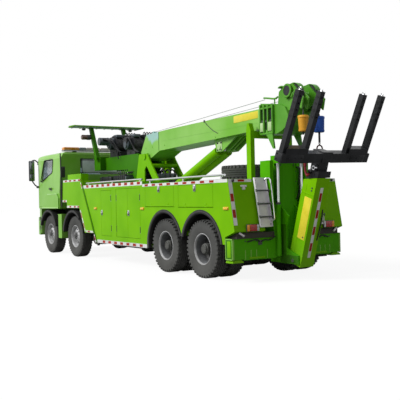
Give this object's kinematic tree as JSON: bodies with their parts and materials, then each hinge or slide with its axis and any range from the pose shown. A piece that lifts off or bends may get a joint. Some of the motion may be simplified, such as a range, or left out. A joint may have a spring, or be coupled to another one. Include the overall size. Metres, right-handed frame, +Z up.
{
  "type": "heavy recovery tow truck",
  "caption": "Heavy recovery truck with tool bodies, a telescopic boom crane and a folding underlift; wheels, doors, boom and lift move.",
  "frame": {"origin": "on the ground under the middle of the truck's overall box", "axes": "+X forwards towards the cab, +Y to the truck's left, +Z up"},
  "size_m": [12.1356, 3, 3.51],
  "materials": {
    "green_paint": "glossy lime green paint",
    "black_paint": "satin black paint, scuffed",
    "dark_metal": "dusty dark chassis paint",
    "tyre": "dusty tyre rubber on steel rims",
    "glass": "tinted safety glass",
    "interior": "grey trim and cloth",
    "lamp_amber": "amber and clear lamp lenses",
    "lamp_red": "red lamp lenses",
    "lamp_clear": "clear lamp lenses",
    "cast_engine": "dark painted castings",
    "ladder_plate": "silver grey steps and plates",
    "chrome_rod": "polished cylinder rods",
    "rope_steel": "wire rope with painted weights"
  },
  "bodies": {
    "chassis": {"frame": "dark_metal", "running_gear": "dark_metal", "engine": "cast_engine", "cab_shell": "green_paint", "cab_glass": "glass", "cab_interior": "interior", "cab_skirts": "green_paint", "headlamps": "lamp_clear", "arch_liners": "black_paint", "mirrors": "black_paint", "beacon_bar": "lamp_amber", "tool_body_left": "green_paint", "tool_body_right": "green_paint", "deck": "ladder_plate", "turret": "green_paint", "winch_platform": "green_paint", "winches": "black_paint", "boom_rest": "green_paint", "mast_frame": "green_paint", "ladders": "ladder_plate", "tail_lamps": "lamp_red", "spare_wheel": "tyre"},
    "boom": {"boom_outer": "green_paint"},
    "boom_extension": {"boom_inner": "green_paint"},
    "hook_lines": {"hook_lines": "rope_steel"},
    "lift_barrels": {"lift_barrels": "green_paint"},
    "lift_rods": {"lift_rods": "chrome_rod"},
    "mast_column": {"mast_column": "green_paint"},
    "lift_arm": {"lift_arm": "green_paint"},
    "arm_extension": {"arm_extension": "black_paint"},
    "crossbar": {"crossbar": "black_paint"},
    "knuckle_1_left": {"knuckle_1_left": "dark_metal"},
    "wheel_1_left": {"wheel_1_left": "tyre"},
    "knuckle_2_left": {"knuckle_2_left": "dark_metal"},
    "wheel_2_left": {"wheel_2_left": "tyre"},
    "wheel_3_left": {"wheel_3_left": "tyre"},
    "wheel_4_left": {"wheel_4_left": "tyre"},
    "cab_door_left": {"cab_door_left": "green_paint", "door_glass_left": "glass"},
    "door_locker_left": {"door_locker_left": "green_paint"},
    "door_tall_front_left": {"door_tall_front_left": "green_paint"},
    "door_tall_rear_left": {"door_tall_rear_left": "green_paint"},
    "door_arch_front_left": {"door_arch_front_left": "green_paint"},
    "door_arch_rear_left": {"door_arch_rear_left": "green_paint"},
    "outrigger_leg_left": {"outrigger_leg_left": "black_paint"},
    "knuckle_1_right": {"knuckle_1_right": "dark_metal"},
    "wheel_1_right": {"wheel_1_right": "tyre"},
    "knuckle_2_right": {"knuckle_2_right": "dark_metal"},
    "wheel_2_right": {"wheel_2_right": "tyre"},
    "wheel_3_right": {"wheel_3_right": "tyre"},
    "wheel_4_right": {"wheel_4_right": "tyre"},
    "cab_door_right": {"cab_door_right": "green_paint", "door_glass_right": "glass"},
    "door_locker_right": {"door_locker_right": "green_paint"},
    "door_tall_front_right": {"door_tall_front_right": "green_paint"},
    "door_tall_rear_right": {"door_tall_rear_right": "green_paint"},
    "door_arch_front_right": {"door_arch_front_right": "green_paint"},
    "door_arch_rear_right": {"door_arch_rear_right": "green_paint"},
    "outrigger_leg_right": {"outrigger_leg_right": "black_paint"}
  },
  "joints": [
    {"name": "steer_1_left", "type": "hinge", "parent": "chassis", "child": "knuckle_1_left", "pos_m": [4.64, 0.86, 0.54], "axis": [0, 0, 1], "range_deg": [-32, 32]},
    {"name": "roll_1_left", "type": "hinge", "parent": "knuckle_1_left", "child": "wheel_1_left", "pos_m": [4.64, 1.03, 0.54], "axis": [0, 1, 0], "continuous": true},
    {"name": "steer_2_left", "type": "hinge", "parent": "chassis", "child": "knuckle_2_left", "pos_m": [2.79, 0.86, 0.54], "axis": [0, 0, 1], "range_deg": [-24, 24]},
    {"name": "roll_2_left", "type": "hinge", "parent": "knuckle_2_left", "child": "wheel_2_left", "pos_m": [2.79, 1.03, 0.54], "axis": [0, 1, 0], "continuous": true},
    {"name": "roll_3_left", "type": "hinge", "parent": "chassis", "child": "wheel_3_left", "pos_m": [-2.16, 0.92, 0.54], "axis": [0, 1, 0], "continuous": true},
    {"name": "roll_4_left", "type": "hinge", "parent": "chassis", "child": "wheel_4_left", "pos_m": [-3.53, 0.92, 0.54], "axis": [0, 1, 0], "continuous": true},
    {"name": "cab_door_left", "type": "hinge", "parent": "chassis", "child": "cab_door_left", "pos_m": [5.49, 1.17, 2], "axis": [0, 0, -1], "range_deg": [0, 70]},
    {"name": "door_locker_left", "type": "hinge", "parent": "chassis", "child": "door_locker_left", "pos_m": [0.343, 1.237, 1.17], "axis": [0, 0, 1], "range_deg": [0, 95]},
    {"name": "door_tall_front_left", "type": "hinge", "parent": "chassis", "child": "door_tall_front_left", "pos_m": [0.047, 1.237, 1.18], "axis": [0, 0, -1], "range_deg": [0, 95]},
    {"name": "door_tall_rear_left", "type": "hinge", "parent": "chassis", "child": "door_tall_rear_left", "pos_m": [-1.117, 1.237, 1.18], "axis": [0, 0, 1], "range_deg": [0, 95]},
    {"name": "door_arch_front_left", "type": "hinge", "parent": "chassis", "child": "door_arch_front_left", "pos_m": [-1.975, 1.237, 1.333], "axis": [-1, 0, 0], "range_deg": [0, 90]},
    {"name": "door_arch_rear_left", "type": "hinge", "parent": "chassis", "child": "door_arch_rear_left", "pos_m": [-3.355, 1.237, 1.323], "axis": [-1, 0, 0], "range_deg": [0, 90]},
    {"name": "outrigger_left", "type": "slide", "parent": "chassis", "child": "outrigger_leg_left", "axis": [0, 0, -1], "range_m": [0, 0.3]},
    {"name": "steer_1_right", "type": "hinge", "parent": "chassis", "child": "knuckle_1_right", "pos_m": [4.64, -0.86, 0.54], "axis": [0, 0, 1], "range_deg": [-32, 32]},
    {"name": "roll_1_right", "type": "hinge", "parent": "knuckle_1_right", "child": "wheel_1_right", "pos_m": [4.64, -1.03, 0.54], "axis": [0, 1, 0], "continuous": true},
    {"name": "steer_2_right", "type": "hinge", "parent": "chassis", "child": "knuckle_2_right", "pos_m": [2.79, -0.86, 0.54], "axis": [0, 0, 1], "range_deg": [-24, 24]},
    {"name": "roll_2_right", "type": "hinge", "parent": "knuckle_2_right", "child": "wheel_2_right", "pos_m": [2.79, -1.03, 0.54], "axis": [0, 1, 0], "continuous": true},
    {"name": "roll_3_right", "type": "hinge", "parent": "chassis", "child": "wheel_3_right", "pos_m": [-2.16, -0.92, 0.54], "axis": [0, 1, 0], "continuous": true},
    {"name": "roll_4_right", "type": "hinge", "parent": "chassis", "child": "wheel_4_right", "pos_m": [-3.53, -0.92, 0.54], "axis": [0, 1, 0], "continuous": true},
    {"name": "cab_door_right", "type": "hinge", "parent": "chassis", "child": "cab_door_right", "pos_m": [5.49, -1.17, 2], "axis": [0, 0, 1], "range_deg": [0, 70]},
    {"name": "door_locker_right", "type": "hinge", "parent": "chassis", "child": "door_locker_right", "pos_m": [0.343, -1.237, 1.17], "axis": [0, 0, -1], "range_deg": [0, 95]},
    {"name": "door_tall_front_right", "type": "hinge", "parent": "chassis", "child": "door_tall_front_right", "pos_m": [0.047, -1.237, 1.18], "axis": [0, 0, 1], "range_deg": [0, 95]},
    {"name": "door_tall_rear_right", "type": "hinge", "parent": "chassis", "child": "door_tall_rear_right", "pos_m": [-1.117, -1.237, 1.18], "axis": [0, 0, -1], "range_deg": [0, 95]},
    {"name": "door_arch_front_right", "type": "hinge", "parent": "chassis", "child": "door_arch_front_right", "pos_m": [-1.975, -1.237, 1.333], "axis": [1, 0, 0], "range_deg": [0, 90]},
    {"name": "door_arch_rear_right", "type": "hinge", "parent": "chassis", "child": "door_arch_rear_right", "pos_m": [-3.355, -1.237, 1.323], "axis": [1, 0, 0], "range_deg": [0, 90]},
    {"name": "outrigger_right", "type": "slide", "parent": "chassis", "child": "outrigger_leg_right", "axis": [0, 0, -1], "range_m": [0, 0.3]},
    {"name": "boom_luff", "type": "hinge", "parent": "chassis", "child": "boom", "pos_m": [0.29, 0, 2.49], "axis": [0, 1, 0], "range_deg": [0, 60]},
    {"name": "boom_extend", "type": "slide", "parent": "boom", "child": "boom_extension", "axis": [-0.9997, 0, 0.0227], "range_m": [0, 3]},
    {"name": "hook_swing", "type": "hinge", "parent": "boom_extension", "child": "hook_lines", "pos_m": [-5.005, 0, 3.235], "axis": [0, -1, 0], "range_deg": [-12, 14]},
    {"name": "lift_barrel_turn", "type": "hinge", "parent": "chassis", "child": "lift_barrels", "pos_m": [-0.52, 0, 1.665], "axis": [0, 1, 0], "range_deg": [0, 58.25]},
    {"name": "lift_rod_slide", "type": "slide", "parent": "lift_barrels", "child": "lift_rods", "axis": [-0.9323, 0, 0.3616], "range_m": [0, 1.161]},
    {"name": "column_lift", "type": "slide", "parent": "chassis", "child": "mast_column", "axis": [0, 0, 1], "range_m": [0, 0.35]},
    {"name": "arm_fold", "type": "hinge", "parent": "mast_column", "child": "lift_arm", "pos_m": [-4.865, 0, 0.35], "axis": [0, -1, 0], "range_deg": [0, 72]},
    {"name": "arm_extend", "type": "slide", "parent": "lift_arm", "child": "arm_extension", "axis": [-0.3007, 0, 0.9537], "range_m": [0, 0.8]},
    {"name": "crossbar_swing", "type": "hinge", "parent": "arm_extension", "child": "crossbar", "pos_m": [-5.43333, 0, 2.15253], "axis": [-0.3007, 0, 0.9537], "range_deg": [-12, 12]}
  ],
  "couplings": [
    {"joint": "steer_1_right", "follows": "steer_1_left", "ratio": 1},
    {"joint": "steer_2_left", "follows": "steer_1_left", "ratio": 0.74},
    {"joint": "steer_2_right", "follows": "steer_1_left", "ratio": 0.74},
    {"joint": "lift_barrel_turn", "follows": "boom_luff", "ratio": 0.9625},
    {"joint": "lift_rod_slide", "follows": "boom_luff", "m_per_rad": 1.099}
  ]
}
